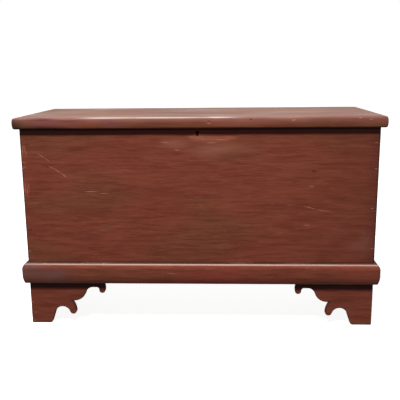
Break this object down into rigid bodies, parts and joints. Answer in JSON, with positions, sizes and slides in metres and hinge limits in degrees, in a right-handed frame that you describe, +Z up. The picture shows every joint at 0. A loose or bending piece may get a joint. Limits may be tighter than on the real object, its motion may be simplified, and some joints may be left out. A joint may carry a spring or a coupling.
{
  "type": "blanket chest",
  "caption": "Painted pine blanket chest: dovetailed case on scroll-cut bracket feet, base moulding, lipped lid on strap hinges, till and lock.",
  "frame": {"origin": "on the floor, under the middle of the closed chest's bounding box", "axes": "+Z up; +X to the right of someone facing the chest, along its length; the front faces -Y"},
  "size_m": [1.116, 0.4634, 0.658],
  "materials": {
    "red_painted_pine": "old red-brown paint, worn satin",
    "bare_pine": "unpainted aged pine, matt",
    "wrought_iron": "dark wrought iron",
    "nail_iron": "darkened cut-nail iron"
  },
  "bodies": {
    "case": {"back_board": "bare_pine", "back_strap_nails": "nail_iron", "base_moulding_brads": "nail_iron", "base_moulding_front": "red_painted_pine", "base_moulding_left": "red_painted_pine", "base_moulding_right": "red_painted_pine", "bottom_board_back": "bare_pine", "bottom_board_front": "bare_pine", "bottom_board_middle": "bare_pine", "bottom_board_nails": "nail_iron", "foot_back_left_plain": "bare_pine", "foot_back_left_side": "red_painted_pine", "foot_back_right_plain": "bare_pine", "foot_back_right_side": "red_painted_pine", "foot_block_back_left": "bare_pine", "foot_block_back_right": "bare_pine", "foot_block_front_left": "bare_pine", "foot_block_front_right": "bare_pine", "foot_front_left_face": "red_painted_pine", "foot_front_left_side": "red_painted_pine", "foot_front_right_face": "red_painted_pine", "foot_front_right_side": "red_painted_pine", "foot_nails": "nail_iron", "front_board": "red_painted_pine", "hinge_left_back_strap": "wrought_iron", "hinge_left_pin": "wrought_iron", "hinge_right_back_strap": "wrought_iron", "hinge_right_pin": "wrought_iron", "left_end_board": "red_painted_pine", "lock_case": "wrought_iron", "lock_nails": "nail_iron", "lock_plate": "wrought_iron", "lock_post": "wrought_iron", "lock_spring": "wrought_iron", "right_end_board": "red_painted_pine", "till_bottom": "bare_pine", "till_front": "bare_pine"},
    "lid": {"lid_board": "red_painted_pine", "lid_moulding_front": "red_painted_pine", "lid_moulding_left": "red_painted_pine", "lid_moulding_right": "red_painted_pine", "lid_moulding_brads": "nail_iron", "hinge_left_lid_strap": "wrought_iron", "hinge_right_lid_strap": "wrought_iron", "lid_strap_nails": "nail_iron", "lock_keeper": "wrought_iron", "keeper_nails": "nail_iron"},
    "bolt": {"lock_bolt": "wrought_iron"},
    "till_lid": {"till_lid": "bare_pine"}
  },
  "joints": [
    {"name": "lid_hinge", "type": "hinge", "parent": "case", "child": "lid", "pos_m": [0, 0.2262, 0.6335], "axis": [-1, 0, 0], "range_deg": [0, 105]},
    {"name": "till_lid_hinge", "type": "hinge", "parent": "case", "child": "till_lid", "pos_m": [-0.5085, 0, 0.576], "axis": [0, -1, 0], "range_deg": [0, 92]},
    {"name": "lock_bolt_slide", "type": "slide", "parent": "case", "child": "bolt", "axis": [1, 0, 0], "range_m": [0, 0.008]}
  ],
  "couplings": [
    {"joint": "till_lid_hinge", "follows": "lid_hinge", "ratio": 0.875}
  ]
}
